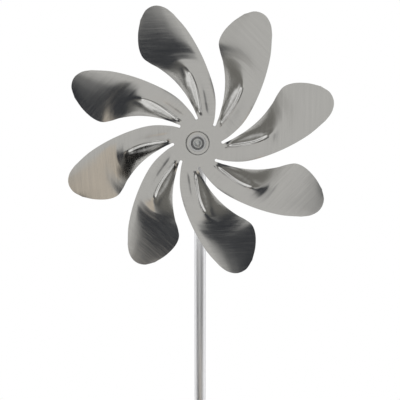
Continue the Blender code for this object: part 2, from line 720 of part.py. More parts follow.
def make_spike(surfaces):
    """Turned ground spike, pinned into the lower tube, with a small flat on its tip."""
    shank = POLE_R - POLE_WALL - GAP
    end = SPIKE_SHOULDER + SPIKE_SHANK
    profile = [
        (0.0, 0.0), (SPIKE_TIP_R, 0.0), (POLE_R, SPIKE_CONE), (POLE_R, SPIKE_SHOULDER),
        (shank, SPIKE_SHOULDER), (shank, end - 1.0), (shank - 0.8, end), (0.0, end),
    ]
    spike = add_object("ground_spike", turn_upright(turned_along_y(profile, SEGMENTS)), surfaces["zinc_steel"])
    subtract(spike, cross_hole("spike_hole_cutter", PIN_HOLE_R, PIN_HEIGHT, -9.0, 9.0))
    pin = [
        (0.0, -PIN_HALF), (PIN_R - 0.2, -PIN_HALF), (PIN_R, 0.3 - PIN_HALF),
        (PIN_R, PIN_HALF - 0.3), (PIN_R - 0.2, PIN_HALF), (0.0, PIN_HALF),
    ]
    made = add_object("spike_pin", turned_along_y(pin, 12), surfaces["zinc_steel"])
    made.location.z = PIN_HEIGHT * MM


def clear_scene():
    """Remove the objects that are in the scene."""
    for old in list(bpy.data.objects):
        bpy.data.objects.remove(old, do_unlink=True)


def main():
    clear_scene()
    surfaces = make_materials()
    make_wheel_sheet(surfaces["brushed_stainless"])
    make_hub_bush(surfaces["turned_aluminium"])
    make_retaining_ring(surfaces["bearing_steel"])
    make_bearing("front", FRONT_BEARING_Y, surfaces)
    make_bearing("rear", REAR_BEARING_Y, surfaces)
    make_axle_bolt(surfaces["zinc_steel"])
    make_axle_rings(surfaces)
    make_saddle("front_saddle", -1.0, surfaces["black_plastic"])
    make_saddle("rear_saddle", 1.0, surfaces["black_plastic"])
    make_lock_nut(surfaces)
    make_pole(surfaces)
    make_connector(surfaces)
    make_pole_cap(surfaces["black_plastic"])
    make_spike(surfaces)


main()
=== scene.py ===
"""Looks of the garden wind spinner: fine stamped wheel, bearings, screw and pole in studio light."""
import json
import math

import bmesh
import bpy
import numpy as np
from mathutils import Matrix, Vector

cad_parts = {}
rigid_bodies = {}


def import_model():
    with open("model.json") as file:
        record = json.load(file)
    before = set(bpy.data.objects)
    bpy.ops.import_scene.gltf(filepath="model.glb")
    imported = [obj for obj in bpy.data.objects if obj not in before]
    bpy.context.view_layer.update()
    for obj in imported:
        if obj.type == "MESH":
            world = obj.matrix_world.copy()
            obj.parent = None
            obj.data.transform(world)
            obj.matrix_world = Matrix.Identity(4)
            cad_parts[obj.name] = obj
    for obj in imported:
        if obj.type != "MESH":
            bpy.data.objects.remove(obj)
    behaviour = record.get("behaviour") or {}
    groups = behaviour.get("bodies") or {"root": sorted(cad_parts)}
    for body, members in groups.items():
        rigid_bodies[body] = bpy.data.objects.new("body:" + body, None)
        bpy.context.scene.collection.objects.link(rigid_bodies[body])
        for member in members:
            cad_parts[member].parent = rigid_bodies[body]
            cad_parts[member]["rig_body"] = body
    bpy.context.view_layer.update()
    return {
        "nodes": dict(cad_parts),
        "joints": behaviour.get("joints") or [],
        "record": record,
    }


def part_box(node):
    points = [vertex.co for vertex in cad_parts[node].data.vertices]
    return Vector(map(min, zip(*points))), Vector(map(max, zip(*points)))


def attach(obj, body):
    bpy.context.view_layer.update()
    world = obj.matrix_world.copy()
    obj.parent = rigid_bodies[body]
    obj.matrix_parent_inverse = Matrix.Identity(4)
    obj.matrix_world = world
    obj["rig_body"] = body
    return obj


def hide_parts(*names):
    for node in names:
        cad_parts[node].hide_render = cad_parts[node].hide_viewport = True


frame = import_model()

BODY_OF = {name: obj["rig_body"] for name, obj in frame["nodes"].items()}

MM = 0.001
SHARP_ANGLE = math.radians(50.0)
SPIN_JOINT = next(j for j in frame["joints"] if j["name"] == "wheel_spin")
HUB = Vector((0.0, 0.0, SPIN_JOINT["pos_m"][2]))      # spin axis, where it crosses the pole's axis
BUSH_LOW, BUSH_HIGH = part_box("hub_bush")
RECESS_DEPTH = 1.0
LIP_PROUD = 0.7                                       # the bush's lip in front of the recess (mm)
HUB_FACE_Y = BUSH_LOW.y / MM + LIP_PROUD - RECESS_DEPTH

# ---- Wheel sheet (mm): one blade lies along +X, z is height towards the viewer ----
BLADES = 8
SHEET = 0.8
HUB_HOLE_R = 7.9
RECESS_INNER_R = 11.2
RECESS_OUTER_R = 12.2
NOTCH_CENTRE_R = 25.4         # round root of the gap between two blades
NOTCH_R = 1.45
NOTCH_ANGLE = 3.0             # degrees
LEADING_EDGE = [
    (19.8, -16.0, 0.0), (27.0, -17.4, 0.5), (44.7, -18.0, 2.0), (62.3, -14.2, 3.8),
    (87.2, -4.1, 5.8), (110.2, 9.6, 6.8), (125.5, 23.0, 6.8),
]
TIP_EDGE = [
    (125.5, 23.0, 6.8), (131.6, 31.5, 5.6), (133.7, 41.5, 3.6),
    (130.0, 50.5, 1.2), (121.0, 56.8, -1.4),
]
TRAILING_EDGE = [
    (26.0, 0.0, 0.0), (34.6, 4.1, -3.0), (49.9, 13.5, -5.8), (63.4, 25.3, -7.8),
    (74.4, 39.5, -9.0), (79.6, 49.0, -9.0), (85.0, 56.0, -8.2), (94.0, 59.6, -6.8),
    (108.0, 59.8, -4.2), (121.0, 56.8, -1.4),
]
RIDGE = [
    (22.6, -4.3), (30.8, -3.5), (46.3, -1.2), (56.5, 1.0), (66.8, 5.1),
    (74.0, 9.8), (81.0, 17.8), (86.2, 28.0), (85.6, 38.0), (81.2, 47.5),
]
# Along the ridge, from 0 at the hub to 1: its height above a straight chord, and how soft the fold is
RIDGE_RISE = [
    (0.0, 0.0), (0.1, 1.5), (0.2, 3.0), (0.33, 4.4), (0.46, 4.8),
    (0.58, 3.5), (0.69, 1.3), (0.83, 0.1), (1.0, 0.0),
]
RIDGE_ROUND = [(0.0, 2.0), (0.08, 0.8), (0.45, 0.8), (0.62, 6.0), (1.0, 9.0)]
BEAD_SHARE = 0.53             # the bead ends this far along the ridge
BEAD_STEP = 1.2               # height of the bead's steep front flank
BEAD_FLANK = 1.0
BEAD_BACK = 2.7               # how far behind its crest the bead runs out
BEAD_END = 3.5
FLUTE_OFFSET = 4.6            # a shallow flute lies this far in front of the bead
FLUTE_WIDTH = 2.3
FLUTE_DEPTH = 0.32
# The back of the blade sinks along this line, so the strip above it is steeper
STRIP_EDGE = [(27.0, 0.2), (41.0, 5.1), (51.4, 8.7), (61.7, 11.3), (72.0, 12.9), (80.0, 17.0)]
STRIP_SINK = 0.35
STRIP_WIDTH = 3.0
LEADING_EASE = 0.2            # share of the width over which the blade starts to fall away
ROOT_EASE = 5.0               # how softly the blade leaves the flat hub
ROWS = 104                    # mesh rows along a blade
COLUMNS = 48
COLUMN_CROWDING = 2.2         # how much the columns crowd towards the ridge
NOTCH_STEPS = 12
RECESS_STEPS = 7


# ---- Node helpers ----

def new_material(name):
    """An empty node material with its Principled shader and output."""
    made = bpy.data.materials.new(name)
    made.use_nodes = True
    return made, made.node_tree, made.node_tree.nodes["Principled BSDF"]


def node(tree, kind, **values):
    """Add a node, set its properties, and its inputs by name."""
    made = tree.nodes.new(kind)
    for key, value in values.pop("inputs", {}).items():
        made.inputs[key].default_value = value
    for key, value in values.items():
        setattr(made, key, value)
    return made


def mix_colour(tree, factor, a, b, blend="MIX"):
    """Mix two colours, each a socket or a constant."""
    made = tree.nodes.new("ShaderNodeMix")
    made.data_type = "RGBA"
    made.blend_type = blend
    for index, value in ((0, factor), (6, a), (7, b)):
        if isinstance(value, bpy.types.NodeSocket):
            tree.links.new(value, made.inputs[index])
        else:
            made.inputs[index].default_value = value
    return made.outputs[2]


def remap(tree, value, low, high, to_low, to_high):
    """Map a value from one range to another, clamped."""
    made = node(tree, "ShaderNodeMapRange", inputs={
        "From Min": low, "From Max": high, "To Min": to_low, "To Max": to_high})
    tree.links.new(value, made.inputs["Value"])
    return made.outputs["Result"]


# ---- Materials ----

def brushed_stainless(name="brushed_stainless_sheet"):
    """Stainless sheet, brushed across each blade: long streaks, fine lines, faint smudges."""
    made, tree, shader = new_material(name)
    links = tree.links
    uv = node(tree, "ShaderNodeUVMap", uv_map="Brush")

    def streaks(across, along, detail):
        """Noise stretched along the brushing; the scales are per metre."""
        stretch = node(tree, "ShaderNodeMapping", inputs={"Scale": (across, along, 1.0)})
        links.new(uv.outputs["UV"], stretch.inputs["Vector"])
        noise = node(tree, "ShaderNodeTexNoise", inputs={"Scale": 1.0, "Detail": detail, "Roughness": 0.65})
        links.new(stretch.outputs["Vector"], noise.inputs["Vector"])
        return noise.outputs["Fac"]

    fine = streaks(2600.0, 45.0, 3.0)
    broad = streaks(420.0, 9.0, 4.0)
    smudge = streaks(38.0, 30.0, 3.0)
    shader.inputs["Metallic"].default_value = 1.0
    shader.inputs["Anisotropic"].default_value = 0.55
    tangent = node(tree, "ShaderNodeTangent", direction_type="UV_MAP", uv_map="Brush")
    links.new(tangent.outputs["Tangent"], shader.inputs["Tangent"])
    tint = mix_colour(tree, remap(tree, broad, 0.35, 0.65, 0.0, 1.0),
                      (0.60, 0.595, 0.58, 1.0), (0.63, 0.625, 0.607, 1.0))
    links.new(tint, shader.inputs["Base Color"])
    grit = mix_colour(tree, 0.5, fine, streaks(1100.0, 11.0, 5.0))
    rough = node(tree, "ShaderNodeMath", operation="ADD")
    links.new(remap(tree, grit, 0.38, 0.62, 0.11, 0.24), rough.inputs[0])
    links.new(remap(tree, smudge, 0.35, 0.7, 0.0, 0.03), rough.inputs[1])
    links.new(rough.outputs["Value"], shader.inputs["Roughness"])
    height = mix_colour(tree, 0.55, grit, broad)
    bump = node(tree, "ShaderNodeBump", inputs={"Strength": 0.10, "Distance": 0.00013})
    links.new(height, bump.inputs["Height"])
    links.new(bump.outputs["Normal"], shader.inputs["Normal"])
    return made


def object_noise(tree, scale, stretch=(1.0, 1.0, 1.0), detail=4.0):
    """Noise in metres, stretched along chosen axes."""
    place = node(tree, "ShaderNodeTexCoord")
    mapping = node(tree, "ShaderNodeMapping", inputs={"Scale": stretch})
    tree.links.new(place.outputs["Object"], mapping.inputs["Vector"])
    noise = node(tree, "ShaderNodeTexNoise", inputs={"Scale": scale, "Detail": detail})
    tree.links.new(mapping.outputs["Vector"], noise.inputs["Vector"])
    return noise.outputs["Fac"]


def tool_rings(tree, scale):
    """Fine rings about the spin axis, as a lathe tool leaves on a face or a cylinder."""
    place = node(tree, "ShaderNodeTexCoord")
    centred = node(tree, "ShaderNodeVectorMath", operation="SUBTRACT")
    tree.links.new(place.outputs["Object"], centred.inputs[0])
    centred.inputs[1].default_value = HUB
    flat = node(tree, "ShaderNodeVectorMath", operation="MULTIPLY")
    tree.links.new(centred.outputs["Vector"], flat.inputs[0])
    flat.inputs[1].default_value = (1.0, 0.0, 1.0)
    radius = node(tree, "ShaderNodeVectorMath", operation="LENGTH")
    tree.links.new(flat.outputs["Vector"], radius.inputs[0])
    parts = node(tree, "ShaderNodeSeparateXYZ")
    tree.links.new(place.outputs["Object"], parts.inputs[0])
    both = node(tree, "ShaderNodeMath", operation="ADD")
    tree.links.new(radius.outputs["Value"], both.inputs[0])
    tree.links.new(parts.outputs["Y"], both.inputs[1])
    noise = node(tree, "ShaderNodeTexNoise", noise_dimensions="1D", inputs={"Scale": scale, "Detail": 3.0})
    tree.links.new(both.outputs["Value"], noise.inputs["W"])
    return noise.outputs["Fac"]


def edge_wear(tree):
    """1 on sharp outer edges, 0 elsewhere."""
    shape = node(tree, "ShaderNodeNewGeometry")
    return remap(tree, shape.outputs["Pointiness"], 0.53, 0.62, 0.0, 1.0)


def finish_surface(name, low, high, roughness, grain, blotch, metallic, bump_depth, worn, anisotropy=0.0):
    """A material whose colour and roughness follow a fine grain and broad blotches, worn on its edges."""
    made, tree, shader = new_material(name)
    fine, broad = grain(tree), blotch(tree)
    tint = mix_colour(tree, remap(tree, broad, 0.3, 0.7, 0.0, 1.0), low + (1.0,), high + (1.0,))
    tint = mix_colour(tree, edge_wear(tree), tint, worn + (1.0,))
    tree.links.new(tint, shader.inputs["Base Color"])
    rough = node(tree, "ShaderNodeMath", operation="ADD")
    tree.links.new(remap(tree, fine, 0.3, 0.7, roughness[0], roughness[1]), rough.inputs[0])
    tree.links.new(remap(tree, broad, 0.35, 0.75, 0.0, 0.06), rough.inputs[1])
    tree.links.new(rough.outputs["Value"], shader.inputs["Roughness"])
    bump = node(tree, "ShaderNodeBump", inputs={"Strength": 0.25, "Distance": bump_depth})
    tree.links.new(fine, bump.inputs["Height"])
    tree.links.new(bump.outputs["Normal"], shader.inputs["Normal"])
    shader.inputs["Metallic"].default_value = metallic
    shader.inputs["Anisotropic"].default_value = anisotropy
    return made


def make_surfaces():
    """One detailed material for each material slot."""
    def blotch(tree):
        return object_noise(tree, 140.0)

    def drawn(tree):
        return object_noise(tree, 1.0, (2600.0, 2600.0, 14.0), 3.0)

    def turned_rings(tree):
        return tool_rings(tree, 3200.0)

    def tube_blotch(tree):
        return object_noise(tree, 1.0, (60.0, 60.0, 9.0))

    def moulded(tree):
        return object_noise(tree, 2600.0)

    def plated(tree):
        return object_noise(tree, 1500.0)

    def plate_blotch(tree):
        return object_noise(tree, 420.0)

    return {
        "brushed_stainless": brushed_stainless(),
        "polished_tube": finish_surface(
            "polished_tube_fine", (0.88, 0.885, 0.90), (0.94, 0.945, 0.955), (0.28, 0.38),
            drawn, tube_blotch, 1.0, 0.00003, (0.95, 0.95, 0.96), 0.88),
        "turned_aluminium": finish_surface(
            "turned_aluminium_fine", (0.60, 0.605, 0.61), (0.70, 0.705, 0.715), (0.24, 0.38),
            turned_rings, blotch, 1.0, 0.00006, (0.86, 0.86, 0.87), 0.3),
        "bearing_steel": finish_surface(
            "bearing_steel_fine", (0.15, 0.152, 0.155), (0.26, 0.262, 0.27), (0.14, 0.26),
            turned_rings, blotch, 1.0, 0.00004, (0.66, 0.66, 0.67), 0.3),
        "zinc_steel": finish_surface(
            "zinc_steel_fine", (0.56, 0.58, 0.60), (0.70, 0.70, 0.67), (0.22, 0.36),
            plated, plate_blotch, 1.0, 0.00004, (0.80, 0.80, 0.80)),
        "black_plastic": finish_surface(
            "black_plastic_fine", (0.018, 0.018, 0.020), (0.030, 0.030, 0.032), (0.38, 0.52),
            moulded, blotch, 0.0, 0.00008, (0.07, 0.07, 0.072)),
        "nylon": finish_surface(
            "nylon_fine", (0.74, 0.72, 0.66), (0.82, 0.80, 0.75), (0.40, 0.52),
            moulded, blotch, 0.0, 0.00004, (0.88, 0.87, 0.83)),
    }


# ---- Curves and the blade's surface ----

def smooth_curve(points, count):
    """Points evenly spaced along a centripetal Catmull-Rom curve through the given points."""
    knots = np.array(points, dtype=float)
    knots = np.vstack([2 * knots[0] - knots[1], knots, 2 * knots[-1] - knots[-2]])
    dense = []
    for i in range(1, len(knots) - 2):
        p0, p1, p2, p3 = knots[i - 1:i + 3]
        t0 = 0.0
        t1 = t0 + np.linalg.norm(p1 - p0) ** 0.5
        t2 = t1 + np.linalg.norm(p2 - p1) ** 0.5
        t3 = t2 + np.linalg.norm(p3 - p2) ** 0.5
        for t in np.linspace(t1, t2, 24, endpoint=False):
            a1 = (t1 - t) / (t1 - t0) * p0 + (t - t0) / (t1 - t0) * p1
            a2 = (t2 - t) / (t2 - t1) * p1 + (t - t1) / (t2 - t1) * p2
            a3 = (t3 - t) / (t3 - t2) * p2 + (t - t2) / (t3 - t2) * p3
            b1 = (t2 - t) / (t2 - t0) * a1 + (t - t0) / (t2 - t0) * a2
            b2 = (t3 - t) / (t3 - t1) * a2 + (t - t1) / (t3 - t1) * a3
            dense.append((t2 - t) / (t2 - t1) * b1 + (t - t1) / (t2 - t1) * b2)
    dense.append(knots[-2])
    dense = np.array(dense)
    walked = np.concatenate([[0.0], np.cumsum(np.linalg.norm(np.diff(dense, axis=0), axis=1))])
    wanted = np.linspace(0.0, walked[-1], count + 1)
    return np.stack([np.interp(wanted, walked, dense[:, k]) for k in range(dense.shape[1])], axis=1)


def smooth_step(value, low, high):
    """0 below low, 1 above high, and a smooth rise between."""
    share = np.clip((value - low) / (high - low), 0.0, 1.0)
    return share * share * (3.0 - 2.0 * share)


def along_table(table, values):
    """Read a table of (place, value) pairs at the given places, with straight runs between."""
    return np.interp(values, [row[0] for row in table], [row[1] for row in table])


def spread_edge(points, shares):
    """Points of a sampled edge at the given shares of its length."""
    places = np.linspace(0.0, 1.0, len(points))
    return np.stack([np.interp(shares, places, points[:, k]) for k in range(points.shape[1])], axis=-1)


def coons(leading, trailing, root, tip, s, t):
    """Point of the patch between four edges, at shares s along and t across."""
    s, t = s[..., None], t[..., None]
    return ((1 - t) * spread_edge(leading, s[..., 0]) + t * spread_edge(trailing, s[..., 0])
            + (1 - s) * spread_edge(root, t[..., 0]) + s * spread_edge(tip, t[..., 0])
            - (1 - s) * (1 - t) * root[0] - (1 - s) * t * root[-1]
            - s * (1 - t) * tip[0] - s * t * tip[-1])


def line_distance(flat, line):
    """Signed distance of each point to a curve, positive on its left, and the place along it."""
    gap = flat[:, None, :] - line[None, :, :]
    nearest = np.linalg.norm(gap, axis=2).argmin(axis=1)
    before = np.clip(nearest - 1, 0, len(line) - 1)
    after = np.clip(nearest + 1, 0, len(line) - 1)
    tangent = line[after] - line[before]
    tangent /= np.linalg.norm(tangent, axis=1, keepdims=True)
    offset = flat - line[nearest]
    across = tangent[:, 0] * offset[:, 1] - tangent[:, 1] * offset[:, 0]
    beyond = np.linalg.norm(offset, axis=1)
    return np.where(across < 0, -beyond, beyond), nearest / (len(line) - 1)


def blade_patch():
    """The blade's front surface: a patch between its edges, folded along the ridge and beaded."""
    leading, trailing = smooth_curve(LEADING_EDGE, 400), smooth_curve(TRAILING_EDGE, 400)
    tip = smooth_curve(TIP_EDGE, 200)
    angles = np.linspace(math.atan2(leading[0][1], leading[0][0]),
                         math.atan2(trailing[0][1], trailing[0][0]), 61)
    radii = np.linspace(np.hypot(*leading[0][:2]), np.hypot(*trailing[0][:2]), 61)
    root = np.stack([radii * np.cos(angles), radii * np.sin(angles), 0 * angles], axis=1)
    edges = (leading, trailing, root, tip)
    s = np.linspace(0.0, 1.0, ROWS + 1)
    share, along = ridge_places(edges, s)
    u = np.linspace(-1.0, 1.0, COLUMNS + 1)[None, :]
    crowd = np.sinh(COLUMN_CROWDING * u) / math.sinh(COLUMN_CROWDING)
    t = share[:, None] + crowd * np.where(u < 0, share[:, None], 1.0 - share[:, None])
    patch = coons(*edges, s[:, None] + 0 * t, t)
    patch[:, :, 2] = coons(*edges, s[:, None] + 0 * t, eased(t) / eased(1.0))[:, :, 2]
    width = np.linalg.norm(patch[:, -1, :2] - patch[:, 0, :2], axis=1)
    rise = along_table(RIDGE_RISE, along)
    blunt = along_table(RIDGE_ROUND, along) / width
    patch[:, :, 2] += rise[:, None] * tent(t, share[:, None], blunt[:, None])
    flat = patch[:, :, :2].reshape(-1, 2)
    press_bead(patch, flat)
    sink_back(patch, flat, t, share[:, None])
    from_root = np.linalg.norm(patch[:, :, :2] - patch[0, :, :2][None, :, :], axis=2)
    patch[:, :, 2] *= 1.0 - np.exp(-(from_root / ROOT_EASE) ** 2)
    return patch


def eased(t):
    """A fall across the blade that starts level at the leading edge."""
    return t - LEADING_EASE * (1.0 - np.exp(-t / LEADING_EASE))


def tent(t, peak, blunt):
    """A roof over 0 to 1 with its top, rounded by blunt, at peak."""
    a, b = t / peak, (1 - t) / (1 - peak)
    blunt = blunt / np.minimum(peak, 1 - peak)
    return np.clip((a + b - np.sqrt((a - b) ** 2 + blunt ** 2)) / 2, 0.0, None)


def ridge_places(edges, s):
    """For each row: where the ridge crosses it, and how far along the ridge that is."""
    ridge = smooth_curve(RIDGE, 200)
    t = np.linspace(0.0, 1.0, 401)
    share, along = [], []
    for value in s:
        row = coons(*edges, value + 0 * t, t)[:, :2]
        distance = np.linalg.norm(ridge[None, :, :] - row[:, None, :], axis=2)
        across, nearest = np.unravel_index(distance.argmin(), distance.shape)
        past_end = along and along[-1] == 1.0
        share.append(share[-1] if past_end else min(0.93, max(0.07, t[across])))
        along.append(1.0 if past_end else nearest / 200)
    window = np.hanning(9) / np.hanning(9).sum()
    return [np.convolve(np.pad(v, 4, mode="edge"), window, mode="valid") for v in (share, along)]


def press_bead(patch, flat):
    """Press the bead into the ridge: a steep front flank and a softer back."""
    ridge = smooth_curve(RIDGE, 400)[:int(400 * BEAD_SHARE) + 1]
    distance, place = line_distance(flat, ridge)
    length = np.linalg.norm(np.diff(ridge, axis=0), axis=1).sum()
    ends = smooth_step(place * length, 0.0, BEAD_END) * smooth_step((1 - place) * length, 0.0, BEAD_END)
    taper = 1.0 - 0.35 * place
    rise = smooth_step(distance, -BEAD_FLANK, 0.0) * (1.0 - smooth_step(distance, 0.0, BEAD_BACK))
    patch[:, :, 2] += (ends * taper * BEAD_STEP * rise).reshape(patch.shape[:2])
    flute = np.exp(-((distance + FLUTE_OFFSET) / FLUTE_WIDTH) ** 2) * (1.0 - smooth_step(place, 0.45, 1.0))
    patch[:, :, 2] -= (FLUTE_DEPTH * ends * flute).reshape(patch.shape[:2])


def sink_back(patch, flat, t, share):
    """Sink the blade along the back of the bead's strip."""
    line = smooth_curve(STRIP_EDGE, 200)
    distance, place = line_distance(flat, line)
    length = np.linalg.norm(np.diff(line, axis=0), axis=1).sum()
    ends = smooth_step(place * length, 0.0, 12.0) * smooth_step((1 - place) * length, 0.0, 14.0)
    dip = (ends * np.exp(-(distance / STRIP_WIDTH) ** 2)).reshape(patch.shape[:2])
    behind = np.clip((t - share) / (1 - share) * 4.0, 0.0, 1.0)
    behind = behind * np.clip((1 - t) / (1 - share) * 4.0, 0.0, 1.0)
    patch[:, :, 2] -= STRIP_SINK * dip * behind


def wheel_point(point, turn):
    """From a blade's own x, y and height to the row frame, turned about the spin axis."""
    x, y, height = point
    c, s = math.cos(turn), math.sin(turn)
    return Vector((x * c - y * s, HUB_FACE_Y - height, x * s + y * c)) * MM + HUB


def notch_arc(start, end, steps):
    """Points of the gap's round root, from one blade's edge round to the next blade's."""
    middle = math.radians(NOTCH_ANGLE)
    centre = NOTCH_CENTRE_R * np.array([math.cos(middle), math.sin(middle)])
    first = math.atan2(start[1] - centre[1], start[0] - centre[0])
    last = math.atan2(end[1] - centre[1], end[0] - centre[0])
    if last > first:
        last -= 2.0 * math.pi
    angles = np.linspace(first, last, steps + 1)[1:-1]
    return [(centre[0] + NOTCH_R * math.cos(a), centre[1] + NOTCH_R * math.sin(a), 0.0) for a in angles]


def hub_depth(radius):
    """Height of the hub's front face: 0, and lower inside the pressed recess."""
    return RECESS_DEPTH * (float(smooth_step(radius, RECESS_INNER_R, RECESS_OUTER_R)) - 1.0)


def add_point(bm, local, point, turn):
    """Add a blade's point, turned into place, and note its flat coordinates for the brushing."""
    vert = bm.verts.new(wheel_point(point, turn))
    local[vert] = (point[0], point[1])
    return vert


def add_face(bm, brush, local, corners):
    """Add a smooth face whose brushing follows the blade it lies on."""
    made = bm.faces.new(corners)
    for loop in made.loops:
        u, v = local[loop.vert]
        loop[brush].uv = (u * MM, v * MM)
    made.smooth = True


def hub_loop(bm, local, radius, first, count):
    """One loop of points round the hub, with the same number for each blade."""
    step = 2.0 * math.pi / BLADES
    made = []
    for k in range(BLADES):
        for i in range(count):
            angle = first + step * i / count
            point = (radius * math.cos(angle), radius * math.sin(angle), hub_depth(radius))
            made.append(add_point(bm, local, point, k * step))
    return made


def wheel_mesh():
    """The sheet's front surface: eight blades and the hub between them."""
    patch = blade_patch()
    step = 2.0 * math.pi / BLADES
    c, s = math.cos(step), math.sin(step)
    x, y = patch[0][0][:2]
    notch = notch_arc(patch[0][-1], (x * c - y * s, x * s + y * c), NOTCH_STEPS)
    recess_radii = np.linspace(RECESS_INNER_R, RECESS_OUTER_R, RECESS_STEPS)
    radii = [HUB_HOLE_R, 8.6, 10.0, *recess_radii, 13.5, 16.0, 19.0, 22.0]
    bm = bmesh.new()
    brush = bm.loops.layers.uv.new("Brush")
    local = {}
    grids = []
    rim = []
    for k in range(BLADES):
        grid = [[add_point(bm, local, p, k * step) for p in row] for row in patch]
        grids.append(grid)
        rim += grid[0] + [add_point(bm, local, p, k * step) for p in notch]
    first, count = math.atan2(y, x), len(rim) // BLADES
    loops = [rim] + [hub_loop(bm, local, radius, first, count) for radius in reversed(radii)]
    for a, b in zip(loops, loops[1:]):
        for i in range(len(a)):
            j = (i + 1) % len(a)
            add_face(bm, brush, local, (a[i], b[i], b[j], a[j]))
    for grid in grids:
        for lower, upper in zip(grid, grid[1:]):
            for i in range(COLUMNS):
                add_face(bm, brush, local, (lower[i], lower[i + 1], upper[i + 1], upper[i]))
    mesh = bpy.data.meshes.new("wheel_sheet_fine")
    bm.to_mesh(mesh)
    bm.free()
    return mesh


def make_wheel(surface):
    """The one-piece stamped wheel: a dished hub and eight swept, folded blades."""
    mesh = wheel_mesh()
    mesh.materials.append(surface)
    made = bpy.data.objects.new("stamped_wheel", mesh)
    bpy.context.scene.collection.objects.link(made)
    if sum(p.normal.y * p.area for p in mesh.polygons) > 0.0:
        mesh.flip_normals()
    thickness = made.modifiers.new("Sheet", "SOLIDIFY")
    thickness.thickness = SHEET * MM
    thickness.offset = -1.0
    rim = made.modifiers.new("Rim", "EDGE_SPLIT")
    rim.split_angle = SHARP_ANGLE
    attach(made, "wheel")
    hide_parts("wheel_sheet")
    return made


# ---- Turned pieces, in place of the CAD's coarser ones (mm) ----

ROUND_SIDES = 96
TUBE_SIDES = 128
ARC_STEPS = 12                # in a quarter of a dome
EDGE_ROUND = 0.15             # radius broken on every turned edge
LAND_R = 5.7                  # bore of the bush's land between the bearings
FLANGE_R = RECESS_INNER_R - 0.5
BUSH_R = 9.2
HEAD_R = 3.7
HEAD_HEIGHT = 2.4
HEAD_SHOULDER = 1.0           # straight part of the head's side
HEAD_EDGE = 0.12
CROSS_HALF = 0.45             # half the width of a slot in the cross recess
CROSS_REACH = 2.2
CROSS_DEEP = 1.5
SADDLE_R = 5.4
CAP_DOME = 2.6
SPIKE_SHANK = 35.0            # inside the lower tube
SPIKE_SHOULDER = 8.0          # straight part above the cone
POLE_R = 6.35
POLE_WALL = 1.0
BOLT_R = 2.0
GAP = 0.2
BEARING_R = 6.5
BEARING_WIDTH = 5.0
BALL_CIRCLE_R = 4.25
BALL_R = 1.15


def break_edges(profile, radius=EDGE_ROUND):
    """Replace each corner of a closed (radius, y) profile by a short three-point arc."""
    corners = [np.array(p, dtype=float) for p in profile]
    made = []
    for i, here in enumerate(corners):
        before, after = corners[i - 1], corners[(i + 1) % len(corners)]
        if here[0] == 0.0:
            made.append(here)
            continue
        reach_in = min(radius, 0.4 * np.linalg.norm(before - here))
        reach_out = min(radius, 0.4 * np.linalg.norm(after - here))
        start = here + (before - here) / np.linalg.norm(before - here) * reach_in
        end = here + (after - here) / np.linalg.norm(after - here) * reach_out
        made += [start, 0.25 * start + 0.5 * here + 0.25 * end, end]
    return made


def turned_mesh(profile, sides=ROUND_SIDES):
    """Turn a closed (radius, y) profile about the Y axis, in metres."""
    bm = bmesh.new()
    rings = []
    for radius, y in profile:
        count = 1 if radius == 0.0 else sides
        ring = []
        for i in range(count):
            angle = 2.0 * math.pi * i / sides
            ring.append(bm.verts.new(Vector((radius * math.cos(angle), y, radius * math.sin(angle))) * MM))
        rings.append(ring)
    for a, b in zip(rings, rings[1:] + rings[:1]):
        if len(a) == len(b) == 1:
            continue
        for i in range(sides):
            j = (i + 1) % sides
            corners = [a[i % len(a)], a[j % len(a)], b[j % len(b)], b[i % len(b)]]
            bm.faces.new(list(dict.fromkeys(corners)))
    bmesh.ops.recalc_face_normals(bm, faces=bm.faces)
    return bm


def fine_piece(name, bm, surfaces, height=None):
    """Link a finer mesh in place of the CAD node of this name, riding on the same body."""
    row = next(r for r in frame["record"]["subparts"] if r["node"] == name)
    if height is not None:
        bmesh.ops.translate(bm, verts=bm.verts, vec=(0.0, 0.0, height))
    mesh = bpy.data.meshes.new(name + "_fine")
    bm.to_mesh(mesh)
    bm.free()
    mesh.shade_smooth()
    mesh.set_sharp_from_angle(angle=SHARP_ANGLE)
    mesh.materials.append(surfaces[row["material_slot"]])
    made = bpy.data.objects.new(name + "_fine", mesh)
    bpy.context.scene.collection.objects.link(made)
    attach(made, BODY_OF[name])
    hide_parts(name)
    return made


def upright(bm):
    """Stand a piece turned about Y on end."""
    bmesh.ops.rotate(bm, verts=bm.verts, matrix=Matrix.Rotation(math.radians(90.0), 3, "X"))
    return bm


def ring(inner, outer, start, end):
    """Rectangular section of a ring."""
    return [(inner, start), (outer, start), (outer, end), (inner, end)]


def extent(name):
    """A CAD node's start and end along Y, in millimetres."""
    low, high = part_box(name)
    return low.y / MM, high.y / MM


